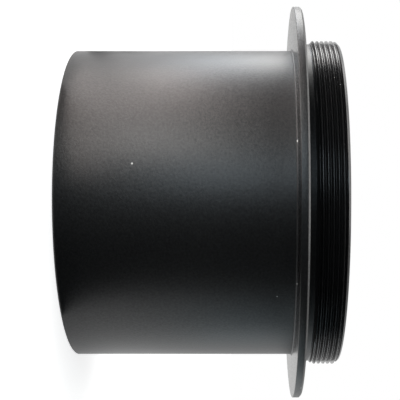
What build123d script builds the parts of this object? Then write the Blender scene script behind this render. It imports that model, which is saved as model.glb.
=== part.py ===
from build123d import *
import math
import os

# Two inch telescope nosepiece adapter, in millimetres.
# The optical axis is Z. The nose end stands on z = 0 and the camera thread is at the top.

# Barrel that slides into the focuser
barrel_diameter = 50.8
barrel_length = 35.3
nose_chamfer = 0.2
shoulder_chamfer = 0.15

# Light path through the barrel, 46 clear, with shallow glare grooves turned into its wall
barrel_wall = 2.4
glare_groove_pitch = 1.0
glare_groove_depth = 0.25
glare_end_margin = 1.5

# Filter thread inside the nose end, M48 x 0.75, and the wall left outside it
filter_thread_wall = 1.4
filter_thread_pitch = 0.75
filter_thread_length = 4.6
filter_relief_width = 0.8
filter_entry_chamfer = 0.45

# Screwed joint between the barrel and the ring, M49 x 0.75, inside the barrel's shoulder
joint_shoulder_width = 0.9
joint_thread_pitch = 0.75
joint_spigot_length = 4.3
joint_relief_width = 0.8
joint_end_gap = 0.4
joint_entry_chamfer = 0.4
joint_thread_clearance = 0.05

# Flange that stops the barrel at the focuser, 65 across, with the low collar at its foot
collar_height = 0.2
collar_overhang = 0.13
flange_overhang = 7.1
flange_thickness = 1.15
rim_chamfer = 0.2

# Camera thread, M54 x 0.75, above a relief neck, and the wall between it and the joint
camera_thread_wall = 2.5
camera_thread_pitch = 0.75
camera_thread_reach = 6.25
camera_thread_phase = 0.6
camera_end_chamfer = 0.5
neck_depth = 0.48
neck_length = 1.43

# Bore of the ring above the screwed joint, behind the step that ends the joint thread
ring_step_width = 0.7
ring_lip_chamfer = 0.4

# Shares of the pitch and angle of the metric thread form
FLANK = math.tan(math.radians(30))
CREST_SHARE = 1 / 8
INNER_DEPTH_SHARE = 0.5413
OUTER_DEPTH_SHARE = 0.6134

# A thread is cut half a turn past its ends, into stock that is cut back afterwards
PAST_SHARE = 0.5
STOCK_SHARE = 1.5

# How far a relief lies below the thread, and how far the tools reach past what they cut
relief_depth = 0.1
cut_past = 0.05
tool_reach = 0.5

barrel_radius = barrel_diameter / 2
aperture_radius = barrel_radius - barrel_wall
z_shoulder = barrel_length
z_face = z_shoulder + collar_height
z_back = z_face + flange_thickness
z_top = z_back + camera_thread_reach

joint_major = barrel_radius - joint_shoulder_width
joint_minor = joint_major - INNER_DEPTH_SHARE * joint_thread_pitch
spigot_radius = joint_major - joint_thread_clearance
spigot_neck = spigot_radius - OUTER_DEPTH_SHARE * joint_thread_pitch - relief_depth
z_spigot = z_shoulder + joint_spigot_length


def turned(*points):
    """A body turned about Z from its half section, given as radius and height."""
    section = make_face(Polyline(*points, close=True))
    return revolve(Plane.XZ * section, Axis.Z)


def helical_cut(pitch, inner, outer, z_low, z_high, z_phase):
    """A right-hand helical cut along a thread from z_low to z_high.

    inner and outer are each a radius and the width of the cut at that radius.
    z_phase is a height at which the middle of the cut crosses the +X side.
    """
    z_start = z_low - PAST_SHARE * pitch
    z_end = z_high + PAST_SHARE * pitch
    corners = [
        (inner[0], z_start - inner[1] / 2),
        (inner[0], z_start + inner[1] / 2),
        (outer[0], z_start + outer[1] / 2),
        (outer[0], z_start - outer[1] / 2),
    ]
    section = Plane.XZ * make_face(Polyline(*corners, close=True))
    path = Helix(pitch, z_end - z_start, inner[0], center=(0, 0, z_start))
    turns_to_start = (z_start - z_phase) / pitch
    return sweep(section, path, is_frenet=True).rotate(Axis.Z, 360 * turns_to_start)


def outer_thread_cut(major, pitch, z_low, z_high, z_phase):
    """The helical cut that leaves a male thread of the given crest radius."""
    depth = OUTER_DEPTH_SHARE * pitch
    open_width = pitch * (1 - CREST_SHARE)
    root = (major - depth, open_width - 2 * depth * FLANK)
    mouth = (major + cut_past, open_width + 2 * cut_past * FLANK)
    return helical_cut(pitch, root, mouth, z_low, z_high, z_phase)


def inner_thread_cut(major, pitch, z_low, z_high, z_phase):
    """The helical cut that leaves a female thread of the given root radius."""
    reach = INNER_DEPTH_SHARE * pitch + cut_past
    root_width = pitch * CREST_SHARE
    mouth = (major - reach, root_width + 2 * reach * FLANK)
    return helical_cut(pitch, mouth, (major, root_width), z_low, z_high, z_phase)


def neck_tool(neck, crest, z_foot, z_thread):
    """The ring of material cut away below a male thread, with a 45 degree run-out."""
    edge = crest + tool_reach
    return turned((neck, z_foot), (edge, z_foot), (edge, z_thread + edge - neck), (neck, z_thread))


def relief_tool(relief, minor, z_thread, z_seat):
    """The ring of material cut away behind a female thread, down to its seat."""
    inner = minor - tool_reach
    return turned((inner, z_thread), (relief, z_thread), (relief, z_seat), (inner, z_seat))


def end_tool(inner, inner_chamfer, outer, outer_chamfer, z_end, z_stock):
    """The spare stock between z_end and z_stock, with the chamfers of the end's two edges."""
    side = math.copysign(1, z_stock - z_end)
    z_far = z_stock + side * tool_reach
    return turned(
        (inner - tool_reach, z_end - side * (inner_chamfer + tool_reach)),
        (inner + inner_chamfer, z_end),
        (outer - outer_chamfer, z_end),
        (outer + tool_reach, z_end - side * (outer_chamfer + tool_reach)),
        (outer + tool_reach, z_far),
        (inner - tool_reach, z_far),
    )


def glare_grooves(z_low, z_high):
    """Points of the V grooves along the bore, from the top down."""
    count = int((z_high - z_low) / glare_groove_pitch)
    points = []
    for i in reversed(range(count)):
        middle = z_low + (i + 0.5) * glare_groove_pitch
        points.append((aperture_radius, middle + glare_groove_depth))
        points.append((aperture_radius + glare_groove_depth, middle))
        points.append((aperture_radius, middle - glare_groove_depth))
    return points


def nosepiece_barrel():
    """The smooth tube, its filter thread and the threaded spigot at its rear."""
    filter_major = barrel_radius - filter_thread_wall
    filter_minor = filter_major - INNER_DEPTH_SHARE * filter_thread_pitch
    z_seat = filter_thread_length + filter_relief_width
    z_neck = z_shoulder + joint_relief_width
    z_stock_low = -STOCK_SHARE * filter_thread_pitch
    z_stock_high = z_spigot + STOCK_SHARE * joint_thread_pitch
    stock = turned(
        (barrel_radius, z_stock_low),
        (barrel_radius, z_shoulder - shoulder_chamfer),
        (barrel_radius - shoulder_chamfer, z_shoulder),
        (spigot_radius, z_shoulder),
        (spigot_radius, z_stock_high),
        (aperture_radius, z_stock_high),
        *glare_grooves(z_seat + glare_end_margin, z_spigot - glare_end_margin),
        (aperture_radius, z_seat),
        (filter_minor, z_seat),
        (filter_minor, z_stock_low),
    )
    threads = [
        inner_thread_cut(filter_major, filter_thread_pitch, 0, filter_thread_length, 0),
        outer_thread_cut(spigot_radius, joint_thread_pitch, z_neck, z_spigot, z_shoulder),
    ]
    tools = [
        relief_tool(filter_major + relief_depth, filter_minor, filter_thread_length, z_seat),
        neck_tool(spigot_neck, spigot_radius, z_shoulder, z_neck),
        end_tool(filter_minor, filter_entry_chamfer, barrel_radius, nose_chamfer, 0, z_stock_low),
        end_tool(
            aperture_radius, 0, spigot_radius, joint_entry_chamfer, z_spigot, z_stock_high,
        ),
    ]
    return stock - threads - tools


def flange_thread_ring():
    """The stop flange with the camera thread above it, screwed onto the spigot."""
    camera_radius = joint_major + camera_thread_wall
    flange_radius = barrel_radius + flange_overhang
    collar_radius = barrel_radius + collar_overhang
    ring_bore = joint_minor - ring_step_width
    z_neck = z_back + neck_length
    z_seat = z_spigot + joint_end_gap
    z_joint = z_seat - joint_relief_width
    z_stock_low = z_shoulder - STOCK_SHARE * joint_thread_pitch
    z_stock_high = z_top + STOCK_SHARE * camera_thread_pitch
    stock = turned(
        (joint_minor, z_stock_low),
        (collar_radius, z_stock_low),
        (collar_radius, z_face),
        (flange_radius - rim_chamfer, z_face),
        (flange_radius, z_face + rim_chamfer),
        (flange_radius, z_back - rim_chamfer),
        (flange_radius - rim_chamfer, z_back),
        (camera_radius, z_back),
        (camera_radius, z_stock_high),
        (ring_bore, z_stock_high),
        (ring_bore, z_seat),
        (joint_minor, z_seat),
    )
    joint_phase = z_shoulder + joint_thread_pitch / 2
    camera_phase = z_back + camera_thread_phase
    threads = [
        inner_thread_cut(joint_major, joint_thread_pitch, z_shoulder, z_joint, joint_phase),
        outer_thread_cut(camera_radius, camera_thread_pitch, z_neck, z_top, camera_phase),
    ]
    entry_tool = turned(
        (joint_minor - tool_reach, z_stock_low - tool_reach),
        (collar_radius + tool_reach, z_stock_low - tool_reach),
        (collar_radius + tool_reach, z_shoulder),
        (joint_minor + joint_entry_chamfer, z_shoulder),
        (joint_minor - tool_reach, z_shoulder + joint_entry_chamfer + tool_reach),
    )
    tools = [
        entry_tool,
        relief_tool(joint_major + relief_depth, joint_minor, z_joint, z_seat),
        neck_tool(camera_radius - neck_depth, camera_radius, z_back, z_neck),
        end_tool(
            ring_bore, ring_lip_chamfer, camera_radius, camera_end_chamfer, z_top, z_stock_high,
        ),
    ]
    return stock - threads - tools


os.makedirs("parts", exist_ok=True)
export_step(nosepiece_barrel(), "parts/nosepiece_barrel.step")
export_step(flange_thread_ring(), "parts/flange_thread_ring.step")
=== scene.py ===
import math

import bpy
import bmesh
from mathutils import Matrix, Vector


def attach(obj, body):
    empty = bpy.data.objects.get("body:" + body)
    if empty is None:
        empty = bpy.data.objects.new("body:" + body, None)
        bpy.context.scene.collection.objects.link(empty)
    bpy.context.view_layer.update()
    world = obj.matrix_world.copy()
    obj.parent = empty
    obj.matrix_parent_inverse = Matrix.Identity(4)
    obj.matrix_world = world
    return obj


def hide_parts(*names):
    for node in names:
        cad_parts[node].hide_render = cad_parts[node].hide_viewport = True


# Telescope nosepiece adapter, standing on its nose end, in metres. The optical axis is Z.

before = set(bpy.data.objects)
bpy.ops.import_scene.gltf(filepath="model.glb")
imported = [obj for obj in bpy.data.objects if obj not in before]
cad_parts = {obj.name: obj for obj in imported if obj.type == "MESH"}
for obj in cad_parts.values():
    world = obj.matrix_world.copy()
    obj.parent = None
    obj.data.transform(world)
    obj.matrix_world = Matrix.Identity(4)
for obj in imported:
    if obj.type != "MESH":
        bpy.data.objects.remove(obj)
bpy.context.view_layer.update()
print("frame loaded", sorted(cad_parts))

mm = 0.001
flankSlope = math.sqrt(3)  # a 60 degree thread form gains this much radius per length along the axis
mergeDistance = 0.0005 * mm
sharpAngle = math.radians(28)  # edges that bend more than this are shaded sharp
scene = bpy.context.scene


# Small helpers for objects and node trees

def addObject(name, data):
    thing = bpy.data.objects.new(name, data)
    scene.collection.objects.link(thing)
    return thing


def emptyTree(owner):
    owner.use_nodes = True
    owner.node_tree.nodes.clear()
    return owner.node_tree


def addNode(tree, kind, values=None, **settings):
    # values go to the input sockets of those names, settings to the node itself
    node = tree.nodes.new(kind)
    for name, value in settings.items():
        setattr(node, name, value)
    for name, value in (values or {}).items():
        node.inputs[name].default_value = value
    return node


def mathNode(tree, operation, *values):
    node = addNode(tree, "ShaderNodeMath", operation=operation)
    for socket, value in zip(node.inputs, values):
        if isinstance(value, (int, float)):
            socket.default_value = value
        else:
            tree.links.new(value, socket)
    return node.outputs[0]


# Geometry Nodes: one tree turns a half section round Z.
# Rows that are marked as thread climb one pitch per turn and take their radius from the thread form.

# the tree's inputs that are lengths, with their names in a thread's dictionary
threadLengths = {
    "Pitch": "pitch",
    "Phase": "phase",
    "Crest radius": "crestRadius",
    "Root radius": "rootRadius",
    "Root flat": "rootFlat",
    "Low height": "low",
    "Low radius": "lowRadius",
    "High height": "high",
    "High radius": "highRadius",
}


def makeTurningTree():
    tree = bpy.data.node_groups.new("turnedWithThread", "GeometryNodeTree")
    tree.interface.new_socket("Geometry", in_out="OUTPUT", socket_type="NodeSocketGeometry")
    tree.interface.new_socket("Geometry", in_out="INPUT", socket_type="NodeSocketGeometry")
    tree.interface.new_socket("Around", in_out="INPUT", socket_type="NodeSocketInt")
    for name in ("Side", *threadLengths):
        tree.interface.new_socket(name, in_out="INPUT", socket_type="NodeSocketFloat")
    tree.interface.new_socket("Finish", in_out="INPUT", socket_type="NodeSocketMaterial")
    given = addNode(tree, "NodeGroupInput").outputs
    link = tree.links.new

    def calc(operation, *values):
        return mathNode(tree, operation, *values)

    # one column per step round the axis, plus one on the seam; one row per point of the section
    size = addNode(tree, "GeometryNodeAttributeDomainSize", component="MESH")
    link(given["Geometry"], size.inputs["Geometry"])
    rowCount = size.outputs["Point Count"]
    grid = addNode(tree, "GeometryNodeMeshGrid")
    link(calc("ADD", given["Around"], 1), grid.inputs["Vertices X"])
    link(rowCount, grid.inputs["Vertices Y"])
    index = addNode(tree, "GeometryNodeInputIndex").outputs[0]
    row = calc("MODULO", index, rowCount)
    column = calc("FLOOR", calc("DIVIDE", index, rowCount))
    turn = calc("DIVIDE", column, given["Around"])

    def fromSection(kind, value):
        sample = addNode(tree, "GeometryNodeSampleIndex", data_type=kind, domain="POINT")
        link(given["Geometry"], sample.inputs["Geometry"])
        link(value, sample.inputs["Value"])
        link(row, sample.inputs["Index"])
        return sample.outputs["Value"]

    position = addNode(tree, "GeometryNodeInputPosition").outputs[0]
    place = addNode(tree, "ShaderNodeSeparateXYZ")
    link(fromSection("FLOAT_VECTOR", position), place.inputs[0])
    sectionRadius = place.outputs["X"]
    sectionHeight = place.outputs["Z"]
    onThread = addNode(tree, "GeometryNodeInputNamedAttribute", {"Name": "onThread"}, data_type="FLOAT")
    marked = fromSection("FLOAT", onThread.outputs["Attribute"])

    # height: thread rows climb with the turn and are held between the ends of the thread
    climbing = calc("MULTIPLY_ADD", turn, given["Pitch"], sectionHeight)
    held = calc("MINIMUM", calc("MAXIMUM", climbing, given["Low height"]), given["High height"])
    climb = calc("SUBTRACT", held, sectionHeight)
    height = calc("MULTIPLY_ADD", climb, marked, sectionHeight)

    # distance along the axis from the middle of the nearest groove
    turnsUp = calc("DIVIDE", calc("SUBTRACT", height, given["Phase"]), given["Pitch"])
    wave = calc("SUBTRACT", turnsUp, turn)
    offWave = calc("ABSOLUTE", calc("SUBTRACT", wave, calc("ROUND", wave)))
    offMiddle = calc("MULTIPLY", offWave, given["Pitch"])

    # thread form, cut back by the 45 degree slopes at its two ends
    pastRoot = calc("MULTIPLY_ADD", given["Root flat"], -0.5, offMiddle)
    rise = calc("MULTIPLY", calc("MAXIMUM", pastRoot, 0.0), flankSlope)
    form = calc("MULTIPLY_ADD", given["Side"], given["Root radius"], rise)
    crest = calc("MULTIPLY", given["Side"], given["Crest radius"])
    fromLow = calc("SUBTRACT", height, given["Low height"])
    fromHigh = calc("SUBTRACT", given["High height"], height)
    lowSlope = calc("MULTIPLY_ADD", given["Side"], given["Low radius"], fromLow)
    highSlope = calc("MULTIPLY_ADD", given["Side"], given["High radius"], fromHigh)
    lowest = calc("MINIMUM", calc("MINIMUM", form, crest), calc("MINIMUM", lowSlope, highSlope))
    threadRadius = calc("MULTIPLY", lowest, given["Side"])
    change = calc("SUBTRACT", threadRadius, sectionRadius)
    radius = calc("MULTIPLY_ADD", change, marked, sectionRadius)

    angle = calc("MULTIPLY", turn, 2 * math.pi)
    spot = addNode(tree, "ShaderNodeCombineXYZ")
    link(calc("MULTIPLY", radius, calc("COSINE", angle)), spot.inputs["X"])
    link(calc("MULTIPLY", radius, calc("SINE", angle)), spot.inputs["Y"])
    link(height, spot.inputs["Z"])
    placed = addNode(tree, "GeometryNodeSetPosition")
    link(grid.outputs["Mesh"], placed.inputs["Geometry"])
    link(spot.outputs[0], placed.inputs["Position"])

    merged = addNode(tree, "GeometryNodeMergeByDistance", {"Distance": mergeDistance})
    link(placed.outputs[0], merged.inputs["Geometry"])
    whole = addNode(tree, "GeometryNodeRealizeInstances")
    link(merged.outputs[0], whole.inputs[0])
    finished = addNode(tree, "GeometryNodeSetMaterial")
    link(whole.outputs[0], finished.inputs["Geometry"])
    link(given["Finish"], finished.inputs["Material"])
    link(finished.outputs[0], addNode(tree, "NodeGroupOutput").inputs[0])
    return tree


turningTree = makeTurningTree()
print("turning tree ready")


def roundedCorners(points, radius, steps=3):
    # a closed section with each corner worn to a small radius, on both surfaces that meet there
    leastBend = 0.05
    longestShare = 0.3
    worn = []
    for i, corner in enumerate(points):
        here = Vector(corner)
        before = Vector(points[i - 1]) - here
        after = Vector(points[(i + 1) % len(points)]) - here
        bend = math.pi - before.angle(after)
        if bend < leastBend:
            worn.append(corner)
            continue
        reach = min(radius * math.tan(bend / 2), before.length * longestShare, after.length * longestShare)
        start = here + before.normalized() * reach
        end = here + after.normalized() * reach
        for k in range(steps + 1):
            t = k / steps
            spot = start * (1 - t) ** 2 + here * 2 * t * (1 - t) + end * t ** 2
            worn.append((spot.x, spot.y))
    return worn


def threadRows(thread):
    # heights of the thread's rows on the +X side: groove edges, flanks and the middle of each crest
    pitch = thread["pitch"]
    rootHalf = thread["rootFlat"] / 2
    crestHalf = rootHalf + abs(thread["crestRadius"] - thread["rootRadius"]) / flankSlope
    steps = thread["flankSteps"]
    flank = [rootHalf + (crestHalf - rootHalf) * k / steps for k in range(steps + 1)]
    offsets = [-x for x in reversed(flank)] + flank + [pitch / 2]

    # the rows start low, because they climb by a pitch before they are back at the +X side
    turnsBelow = 1.5
    turnsAbove = 0.5
    lowest = thread["low"] - pitch * turnsBelow
    highest = thread["high"] + pitch * turnsAbove
    first = math.floor((lowest - thread["phase"]) / pitch) - 1
    last = math.ceil((highest - thread["phase"]) / pitch) + 1
    heights = [thread["phase"] + n * pitch + offset for n in range(first, last + 1) for offset in offsets]
    return sorted(height for height in heights if lowest <= height <= highest)


def sectionMesh(name, section, thread):
    # section is a list of stretches; threadUp and threadDown stand for the rows of the thread
    bm = bmesh.new()
    mark = bm.verts.layers.float.new("onThread")
    for stretch in section:
        if stretch in ("threadUp", "threadDown"):
            heights = threadRows(thread)
            if stretch == "threadDown":
                heights.reverse()
            for height in heights:
                bm.verts.new((thread["crestRadius"] * mm, 0, height * mm))[mark] = 1.0
        else:
            for radius, height in stretch:
                bm.verts.new((radius * mm, 0, height * mm))
    bm.verts.ensure_lookup_table()
    first = bm.verts[0]
    last = bm.verts.new(first.co)  # closes the section
    last[mark] = first[mark]
    mesh = bpy.data.meshes.new(name)
    bm.to_mesh(mesh)
    bm.free()
    return mesh


def turnedPiece(name, section, thread, around, finish):
    holder = addObject(name + "Section", sectionMesh(name + "Section", section, thread))
    turning = holder.modifiers.new("turning", "NODES")
    turning.node_group = turningTree
    inputs = {title: thread[key] * mm for title, key in threadLengths.items()}
    inputs.update({"Around": around, "Side": thread["side"], "Finish": finish})
    for item in turningTree.interface.items_tree:
        if item.in_out == "INPUT" and item.name in inputs:
            turning[item.identifier] = inputs[item.name]
    bpy.context.view_layer.update()
    evaluated = holder.evaluated_get(bpy.context.evaluated_depsgraph_get())
    mesh = bpy.data.meshes.new_from_object(evaluated)
    holder.modifiers.remove(turning)
    bpy.data.objects.remove(holder)
    mesh.name = name

    # the thread's rows come together at its ends, and the first row meets the last
    bm = bmesh.new()
    bm.from_mesh(mesh)
    bmesh.ops.remove_doubles(bm, verts=bm.verts, dist=mergeDistance)
    bmesh.ops.dissolve_degenerate(bm, edges=bm.edges, dist=mergeDistance)
    bmesh.ops.recalc_face_normals(bm, faces=bm.faces)
    openEdges = sum(1 for edge in bm.edges if not edge.is_manifold)
    volume = round(bm.calc_volume(signed=True) / mm ** 3)
    bm.to_mesh(mesh)
    bm.free()
    mesh.shade_smooth()
    mesh.set_sharp_from_angle(angle=sharpAngle)
    print(name, "faces", len(mesh.polygons), "open edges", openEdges, "volume mm3", volume)
    return addObject(name, mesh)


# Finishes: black anodise over a bead-blasted surface, worn a little on its edges, where a painted
# highlight also lies. Sizes are in mm.

anodise = {
    "tone": (0.0036, 0.0037, 0.0040, 1),
    "paleTone": (0.0054, 0.0055, 0.0057, 1),
    "cloudSize": 7,
    "roughness": 0.42,
    "roughnessSpread": 0.05,
    "grainSize": 0.13,
    "grainHeight": 0.008,
    "dimpleSize": 0.34,
    "dimpleHeight": 0.018,
    "specular": 0.5,
    "specularSpread": 0.21,
    # lighter tone of worn edges, which also paints a highlight along them
    "wornAndHighlightTone": (0.10, 0.10, 0.10, 1),
    "wornAndHighlightStrength": 2.2,
    "wornAndHighlightPatchSize": 1.6,
    "wornAndHighlightFleckSize": 0.3,
    "dustTone": (0.62, 0.62, 0.60, 1),
    "dustReach": 1.6,  # the soft edge of a speck, in its own size
}
# the cut thread and the bore behind it are smoother than the blasted faces, from this height up;
# grain and shine are shares of what the blasted faces have
threadSmooth = {
    "height": 38.0,
    "fade": 0.1,
    "roughness": 0.25,
    "grain": 0.12,
    "rootRadius": 26.53,
    "crestRadius": 26.9,
    # less shine in the thread's roots is painted shade, more on its crests a painted sheen
    "rootShadeShine": 0.45,
    "crestSheenShine": 1.2,
}
# the flange's front face is smoother too
faceSmooth = {"below": 35.44, "outside": 25.7, "roughness": 0.28}
# edges that rub bare and also carry a painted highlight, as radius, height and reach of the lighter ring
barrelWearAndHighlight = [(25.4, 35.22, 0.06), (25.3, 0.0, 0.08)]
ringWearAndHighlight = [(25.53, 35.28, 0.05), (32.35, 36.6, 0.16), (26.52, 42.85, 0.16)]
# specks and nicks, as place and size
barrelSpecks = [((-5.69, -24.75, 11.48), 0.13), ((13.83, -21.30, 32.50), 0.07)]
ringSpecks = [
    ((-8.99, -23.89, 35.40), 0.17),
    ((11.85, -22.61, 35.37), 0.09),
    ((28.54, -15.54, 36.37), 0.12),
    ((-18.72, -19.46, 41.09), 0.05),
    ((-17.55, -20.52, 41.89), 0.055),
]


def distanceNode(tree, place, spot):
    distance = addNode(tree, "ShaderNodeVectorMath", operation="DISTANCE")
    tree.links.new(place, distance.inputs[0])
    distance.inputs[1].default_value = spot
    return distance.outputs["Value"]


def rangeNode(tree, value, given, wanted, kind="LINEAR"):
    # takes a value from the given range to the wanted one
    values = {"From Min": given[0], "From Max": given[1], "To Min": wanted[0], "To Max": wanted[1]}
    node = addNode(tree, "ShaderNodeMapRange", values, interpolation_type=kind)
    tree.links.new(value, node.inputs["Value"])
    return node.outputs["Result"]


def fadeNode(tree, distance, reach):
    # one at no distance, falling smoothly to nothing at the reach
    return rangeNode(tree, distance, (0.0, reach * mm), (1.0, 0.0), "SMOOTHSTEP")


def noiseNode(tree, coords, size, detail):
    noise = addNode(tree, "ShaderNodeTexNoise", {"Scale": 1 / (size * mm), "Detail": detail})
    tree.links.new(coords, noise.inputs["Vector"])
    return noise.outputs["Fac"]


def bumpNode(tree, height, distance):
    bump = addNode(tree, "ShaderNodeBump", {"Distance": distance * mm})
    tree.links.new(height, bump.inputs["Height"])
    return bump


def colourMix(tree, factor, first, second):
    mix = addNode(tree, "ShaderNodeMix", data_type="RGBA")
    colours = [socket for socket in mix.inputs if socket.type == "RGBA"]
    for socket, value in zip(colours, (first, second)):
        if isinstance(value, tuple):
            socket.default_value = value
        else:
            tree.links.new(value, socket)
    tree.links.new(factor, mix.inputs["Factor"])
    return [socket for socket in mix.outputs if socket.type == "RGBA"][0]


def makeAnodise(name, look, wearAndHighlight, specks, smooth=None, face=None):
    material = bpy.data.materials.new(name)
    tree = emptyTree(material)
    link = tree.links.new
    shader = addNode(tree, "ShaderNodeBsdfPrincipled")
    link(shader.outputs[0], addNode(tree, "ShaderNodeOutputMaterial").inputs["Surface"])
    coords = addNode(tree, "ShaderNodeTexCoord").outputs["Object"]

    def calc(operation, *values):
        return mathNode(tree, operation, *values)

    # the dye is a little uneven
    cloud = noiseNode(tree, coords, look["cloudSize"], detail=4)
    colour = colourMix(tree, cloud, look["tone"], look["paleTone"])

    # radius and height of a point, as the place in the section
    axes = addNode(tree, "ShaderNodeSeparateXYZ")
    link(coords, axes.inputs[0])
    height = axes.outputs["Z"]
    flat = addNode(tree, "ShaderNodeVectorMath", operation="MULTIPLY")
    link(coords, flat.inputs[0])
    flat.inputs[1].default_value = (1, 1, 0)
    length = addNode(tree, "ShaderNodeVectorMath", operation="LENGTH")
    link(flat.outputs["Vector"], length.inputs[0])
    radius = length.outputs["Value"]
    section = addNode(tree, "ShaderNodeCombineXYZ")
    link(radius, section.inputs["X"])
    link(height, section.inputs["Y"])

    # worn edges, partly a painted highlight: lighter rings round the axis along the edges, broken up by a
    # noise
    worn = 0.0
    for ringRadius, ringHeight, reach in wearAndHighlight:
        distance = distanceNode(tree, section.outputs[0], (ringRadius * mm, ringHeight * mm, 0))
        worn = calc("MAXIMUM", worn, fadeNode(tree, distance, reach))
    patches = noiseNode(tree, coords, look["wornAndHighlightPatchSize"], detail=3)
    flecks = noiseNode(tree, coords, look["wornAndHighlightFleckSize"], detail=2)
    patchy = calc("MULTIPLY", calc("MULTIPLY", patches, flecks), look["wornAndHighlightStrength"])
    colour = colourMix(tree, calc("MULTIPLY", worn, patchy), colour, look["wornAndHighlightTone"])

    # specks of dust and small nicks
    speckled = 0.0
    for place, size in specks:
        distance = distanceNode(tree, coords, tuple(c * mm for c in place))
        speckled = calc("MAXIMUM", speckled, fadeNode(tree, distance, size * look["dustReach"]))
    colour = colourMix(tree, speckled, colour, look["dustTone"])
    link(colour, shader.inputs["Base Color"])

    # bead-blasted grain, which also varies the roughness and the shine
    grain = noiseNode(tree, coords, look["grainSize"], detail=2)
    dimples = noiseNode(tree, coords, look["dimpleSize"], detail=2)

    def spread(key):
        middle = look[key]
        half = look[key + "Spread"]
        return rangeNode(tree, dimples, (0, 1), (middle - half, middle + half))

    roughness = spread("roughness")
    shine = spread("specular")
    depth = 1.0
    if smooth:
        band = ((smooth["height"] - smooth["fade"]) * mm, smooth["height"] * mm)
        above = rangeNode(tree, height, band, (0, 1))
        roughness = calc("MULTIPLY_ADD", above, smooth["roughness"] - look["roughness"], roughness)
        depth = calc("MULTIPLY_ADD", above, smooth["grain"] - 1, 1.0)
        # painted shade and sheen: less shine towards the thread's roots, more on its crests
        rootToCrest = (smooth["rootRadius"] * mm, smooth["crestRadius"] * mm)
        grooveShadeAndCrestSheen = rangeNode(tree, radius, rootToCrest, (smooth["rootShadeShine"] - 1, smooth["crestSheenShine"] - 1))
        shine = calc("MULTIPLY_ADD", shine, calc("MULTIPLY", above, grooveShadeAndCrestSheen), shine)
    if face:
        below = calc("LESS_THAN", height, face["below"] * mm)
        outside = calc("GREATER_THAN", radius, face["outside"] * mm)
        onFace = calc("MULTIPLY", below, outside)
        roughness = calc("MULTIPLY_ADD", onFace, face["roughness"] - look["roughness"], roughness)
    link(shine, shader.inputs["Specular IOR Level"])
    link(roughness, shader.inputs["Roughness"])
    fine = bumpNode(tree, calc("MULTIPLY", grain, depth), look["grainHeight"])
    coarse = bumpNode(tree, calc("MULTIPLY", dimples, depth), look["dimpleHeight"])
    link(fine.outputs["Normal"], coarse.inputs["Normal"])
    link(coarse.outputs["Normal"], shader.inputs["Normal"])
    return material


barrelAnodise = makeAnodise("barrelBlackAnodise", anodise, barrelWearAndHighlight, barrelSpecks)
ringAnodise = makeAnodise("ringBlackAnodise", anodise, ringWearAndHighlight, ringSpecks, threadSmooth, faceSmooth)
print("finishes ready")


# Barrel: the plain tube that slides into the focuser, with the filter thread in its nose end.
# Sizes are in mm; a thread's side is 1 for a male and -1 for a female one.

filterThread = {
    "pitch": 0.75,
    "phase": 0.0,
    "side": -1.0,
    "crestRadius": 23.594,
    "rootRadius": 24.0,
    "rootFlat": 0.094,
    "flankSteps": 3,
    "low": 0.0,
    "lowRadius": 24.044,
    "high": 4.6,
    "highRadius": 23.594,
}
barrel = {
    "radius": 25.4,
    "length": 35.22,
    "noseChamfer": 0.14,
    "shoulderChamfer": 0.02,
    "reliefRadius": 24.1,
    "seatHeight": 5.4,
    "bore": 23.0,
    "grooveFrom": 6.9,
    "groovePitch": 1.0,
    "grooveCount": 31,
    "grooveDepth": 0.25,
    "spigotNeck": 23.89,
    "spigotNeckLength": 0.8,
    "spigotStep": 1.2,  # where the spigot is full, above the shoulder
    "spigotRadius": 24.3,
    "spigotTop": 39.6,
    "spigotChamfer": 0.4,
    "edgeWear": 0.02,
    "around": 384,
}


def barrelSection(b):
    outside = [
        (b["radius"] - b["noseChamfer"], 0.0),
        (b["radius"], b["noseChamfer"]),
        (b["radius"], b["length"] - b["shoulderChamfer"]),
        (b["radius"] - b["shoulderChamfer"], b["length"]),
        (b["spigotNeck"], b["length"]),
        (b["spigotNeck"], b["length"] + b["spigotNeckLength"]),
        (b["spigotRadius"], b["length"] + b["spigotStep"]),
        (b["spigotRadius"], b["spigotTop"] - b["spigotChamfer"]),
        (b["spigotRadius"] - b["spigotChamfer"], b["spigotTop"]),
        (b["bore"], b["spigotTop"]),
    ]
    inside = []
    for i in reversed(range(b["grooveCount"])):
        middle = b["grooveFrom"] + (i + 0.5) * b["groovePitch"]
        inside.append((b["bore"], middle + b["grooveDepth"]))
        inside.append((b["bore"] + b["grooveDepth"], middle))
        inside.append((b["bore"], middle - b["grooveDepth"]))
    inside.append((b["bore"], b["seatHeight"]))
    inside.append((b["reliefRadius"], b["seatHeight"]))
    inside.append((b["reliefRadius"], filterThread["high"]))
    # the wear rounds the outside corners; the inside ones stay crisp
    return [roundedCorners(outside, b["edgeWear"]), inside, "threadDown"]


barrelPiece = turnedPiece(
    "nosepieceBarrel", barrelSection(barrel), filterThread, barrel["around"], barrelAnodise)


# Flange ring: stop flange, relief neck and camera thread, in mm

cameraThread = {
    "pitch": 0.75,
    "phase": 37.25,
    "side": 1.0,
    "crestRadius": 27.0,
    "rootRadius": 26.51,
    "rootFlat": 0.09,
    "flankSteps": 4,
    "low": 38.2,
    "lowRadius": 26.52,
    "high": 42.9,
    "highRadius": 26.42,
}
ring = {
    "foot": 35.22,
    "jointBore": 24.4,
    "collarRadius": 25.53,
    "collarBevel": 0.09,
    "face": 35.42,
    "flangeRadius": 32.5,
    "frontChamfer": 0.08,
    "backChamfer": 0.3,
    "back": 36.74,
    "neck": 26.52,
    "neckMargin": 0.2,  # plain neck left below the thread's rows
    "bore": 23.394,
    "lipChamfer": 0.4,
    "seat": 40.0,
    "edgeWear": 0.05,
    "around": 384,
}


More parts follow.
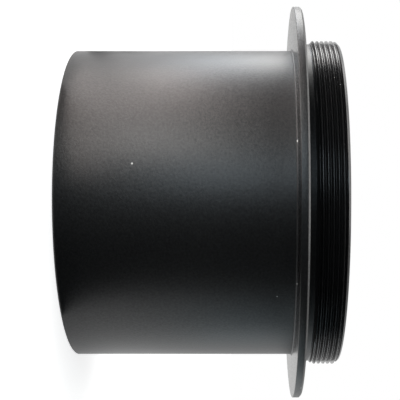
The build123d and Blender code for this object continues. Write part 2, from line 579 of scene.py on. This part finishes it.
def ringSection(r):
    lower = [
        (r["jointBore"], r["foot"]),
        (r["collarRadius"] - r["collarBevel"], r["foot"]),
        (r["collarRadius"], r["foot"] + r["collarBevel"]),
        (r["collarRadius"], r["face"]),
        (r["flangeRadius"] - r["frontChamfer"], r["face"]),
        (r["flangeRadius"], r["face"] + r["frontChamfer"]),
        (r["flangeRadius"], r["back"] - r["backChamfer"]),
        (r["flangeRadius"] - r["backChamfer"], r["back"]),
        (r["neck"], r["back"]),
        (r["neck"], cameraThread["low"] - r["neckMargin"]),
    ]
    upper = [
        (r["bore"] + r["lipChamfer"], cameraThread["high"]),
        (r["bore"], cameraThread["high"] - r["lipChamfer"]),
        (r["bore"], r["seat"]),
        (r["jointBore"], r["seat"]),
    ]
    return [roundedCorners(lower, r["edgeWear"]), "threadUp", upper]


ringPiece = turnedPiece("flangeThreadRing", ringSection(ring), cameraThread, ring["around"], ringAnodise)

for piece, node, slotName in (
    (barrelPiece, "nosepiece_barrel", "barrel_black_anodise"),
    (ringPiece, "flange_thread_ring", "ring_black_anodise"),
):
    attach(piece, "root")
    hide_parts(node)
print("pieces placed")


# Stage: a pale floor, a white surround, dark flags on the camera's side, a painted shadow beside the foot
# and a few lamps.
# Azimuths are in degrees from the camera's side, towards -X, seen from above. Lengths are in metres.

stage = {
    "floorSize": 3.0,
    "floorTone": 0.8,
    "floorGlow": 0.62,  # makes the floor white to the camera and adds no light
    "worldLight": 0.55,  # the world as it lights the object
    "worldShown": 1.0,  # the world as it is seen
    "flagAndShadowTone": 0.01,
    "flagSteps": 44,
}
# each flag, and each patch of painted shadow beside the foot, is a strip between two arcs, given by first
# and last azimuth, radius and height
ground = 0.0002
flagsAndFootShadow = {
    "ground": ((-42, 45, 0.0255, ground), (-66, 45, 0.5, ground)),
    "wall": ((-106, 110, 0.5, ground), (-106, 110, 0.5, 0.8)),
    # painted shadow of the foot: dark ground round its back, seen only in reflections
    "nearFootShadow": ((98, 200, 0.0255, ground), (98, 200, 0.05, ground)),
    "farFootShadow": ((128, 200, 0.05, ground), (128, 200, 0.10, ground)),
}


def seenDirectly(tree):
    # one for what the camera sees, also in a reflection or through glass
    path = addNode(tree, "ShaderNodeLightPath").outputs
    seen = mathNode(tree, "MAXIMUM", path["Is Camera Ray"], path["Is Glossy Ray"])
    return mathNode(tree, "MAXIMUM", seen, path["Is Transmission Ray"])


def greyMatte(tree, tone):
    return addNode(tree, "ShaderNodeBsdfDiffuse", {"Color": (tone, tone, tone, 1)}).outputs[0]


def makeFloor(s):
    half = s["floorSize"] / 2
    corners = [(-half, -half, 0), (half, -half, 0), (half, half, 0), (-half, half, 0)]
    mesh = bpy.data.meshes.new("floor")
    mesh.from_pydata(corners, [], [(0, 1, 2, 3)])
    material = bpy.data.materials.new("paleFloor")
    tree = emptyTree(material)
    link = tree.links.new
    glow = addNode(tree, "ShaderNodeEmission")
    link(mathNode(tree, "MULTIPLY", seenDirectly(tree), s["floorGlow"]), glow.inputs["Strength"])
    both = addNode(tree, "ShaderNodeAddShader")
    link(greyMatte(tree, s["floorTone"]), both.inputs[0])
    link(glow.outputs[0], both.inputs[1])
    link(both.outputs[0], addNode(tree, "ShaderNodeOutputMaterial").inputs["Surface"])
    mesh.materials.append(material)
    return addObject("floor", mesh)


def makeWorld(s):
    world = bpy.data.worlds.new("studio")
    scene.world = world
    tree = emptyTree(world)
    link = tree.links.new
    mixed = addNode(tree, "ShaderNodeMixShader")
    link(seenDirectly(tree), mixed.inputs[0])
    for strength, socket in ((s["worldLight"], mixed.inputs[1]), (s["worldShown"], mixed.inputs[2])):
        white = addNode(tree, "ShaderNodeBackground", {"Color": (1, 1, 1, 1), "Strength": strength})
        link(white.outputs[0], socket)
    link(mixed.outputs[0], addNode(tree, "ShaderNodeOutputWorld").inputs["Surface"])


def toward(azimuth, distance, height):
    # a place at an azimuth and a distance from the axis
    turn = math.radians(azimuth)
    return Vector((-math.sin(turn) * distance, -math.cos(turn) * distance, height))


def makeFlagsAndFootShadow(s, strips):
    # a dark curved wall and dark ground before it, and a painted shadow as dark ground beside the foot,
    # all of which only reflections see
    bm = bmesh.new()
    steps = s["flagSteps"]
    for arcs in strips.values():
        rungs = []
        for i in range(steps + 1):
            rung = []
            for first, last, radius, height in arcs:
                azimuth = first + (last - first) * (i / steps)
                rung.append(bm.verts.new(toward(azimuth, radius, height)))
            rungs.append(rung)
        for one, other in zip(rungs, rungs[1:]):
            bm.faces.new((one[0], one[1], other[1], other[0]))
    mesh = bpy.data.meshes.new("darkFlagsAndFootShadow")
    bm.to_mesh(mesh)
    bm.free()
    material = bpy.data.materials.new("flagAndShadowCloth")
    tree = emptyTree(material)
    surface = addNode(tree, "ShaderNodeOutputMaterial").inputs["Surface"]
    tree.links.new(greyMatte(tree, s["flagAndShadowTone"]), surface)
    mesh.materials.append(material)
    cloth = addObject("darkFlagsAndFootShadow", mesh)
    cloth.visible_camera = False
    cloth.visible_diffuse = False
    cloth.visible_shadow = False
    cloth.visible_transmission = False
    return cloth


# Lamps: lengths in mm, distances from the axis, brightness the same at any size.
# An upright lamp has a lowest and a highest edge and faces the axis.
# The others have a height and a depth, and face up, down or the point on the axis that aim gives.

warm = (1.0, 0.89, 0.85)
cool = (0.75, 0.90, 1.0)
paleBlue = (0.84, 0.92, 1.0)
skyBlue = (0.6, 0.88, 1.0)
neutral = (1.0, 0.99, 0.97)
lamps = {
    "frontPanel": {"azimuth": 44, "distance": 54, "width": 40, "depth": 52, "height": 0.4, "upward": True,
                   "brightness": 2.4, "tint": warm},
    "frontStrip": {"azimuth": 40, "distance": 130, "width": 50, "low": 0.5, "high": 9,
                   "brightness": 33, "tint": neutral},
    "noseStrip": {"azimuth": 81.5, "distance": 130, "width": 113, "low": 0.5, "high": 9,
                  "brightness": 22.7, "tint": warm},
    "sideBox": {"azimuth": 110, "distance": 130, "width": 76, "low": 9, "high": 34,
                "brightness": 5.0, "tint": paleBlue},
    "tallBox": {"azimuth": 115, "distance": 130, "width": 52, "low": 30, "high": 80,
                "brightness": 6.8, "tint": neutral},
    "cameraBox": {"azimuth": 20, "distance": 130, "width": 46, "low": 9, "high": 43,
                  "brightness": 5.8, "tint": cool},
    "topBox": {"azimuth": 90, "distance": 62, "width": 240, "depth": 240, "height": 350, "upward": False,
               "brightness": 2.8, "tint": neutral},
    "rearBox": {"azimuth": 133, "distance": 235, "width": 170, "depth": 120, "height": 250, "aim": 40,
                "brightness": 1.5, "tint": neutral},
    "lowBox": {"azimuth": 268, "distance": 130, "width": 120, "low": 16, "high": 46,
               "brightness": 0.75, "tint": skyBlue},
}


def addLamp(name, lamp):
    upright = "high" in lamp
    depth = lamp["high"] - lamp["low"] if upright else lamp["depth"]
    height = (lamp["low"] + lamp["high"]) / 2 if upright else lamp["height"]
    light = bpy.data.lights.new(name, "AREA")
    light.shape = "RECTANGLE"
    light.size = lamp["width"] * mm
    light.size_y = depth * mm
    light.energy = lamp["brightness"] * math.pi * light.size * light.size_y
    light.color = lamp["tint"]
    box = addObject(name, light)
    box.location = toward(lamp["azimuth"], lamp["distance"] * mm, height * mm)
    if "upward" in lamp:
        box.rotation_euler = (math.pi if lamp["upward"] else 0, 0, -math.radians(lamp["azimuth"]))
    else:
        aim = Vector((0, 0, lamp.get("aim", height) * mm))
        box.rotation_euler = (aim - box.location).to_track_quat("-Z", "Y").to_euler()
    box.visible_camera = False


for backdrop in (makeFloor(stage), makeFlagsAndFootShadow(stage, flagsAndFootShadow)):
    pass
makeWorld(stage)
for name, lamp in lamps.items():
    addLamp(name, lamp)
print("stage lit", list(lamps))


# Camera: level with the barrel and rolled, so that the optical axis runs across the picture.
# Lengths are in metres, the tilt in radians, and lens and sensor in mm.

view = {
    "distance": 0.16375,
    "height": 0.028055,
    "tilt": 0.0231,
    "lens": 86.78,
    "sensor": 36,
    "shiftX": -0.11775,
    "shiftY": 0.06325,
    "nearest": 0.01,
}


def makeCamera(v):
    data = bpy.data.cameras.new("camera")
    data.sensor_width = v["sensor"]
    data.sensor_fit = "HORIZONTAL"
    data.lens = v["lens"]
    data.shift_x = v["shiftX"]
    data.shift_y = v["shiftY"]
    data.clip_start = v["nearest"]
    camera = addObject("camera", data)
    look = Vector((math.sin(v["tilt"]), math.cos(v["tilt"]), 0))
    right = Vector((0, 0, 1))
    up = right.cross(look)
    turn = Matrix((right, up, -look)).transposed().to_4x4()
    camera.matrix_world = Matrix.Translation((0, -v["distance"], v["height"])) @ turn
    scene.camera = camera


makeCamera(view)
scene.view_settings.view_transform = "Standard"
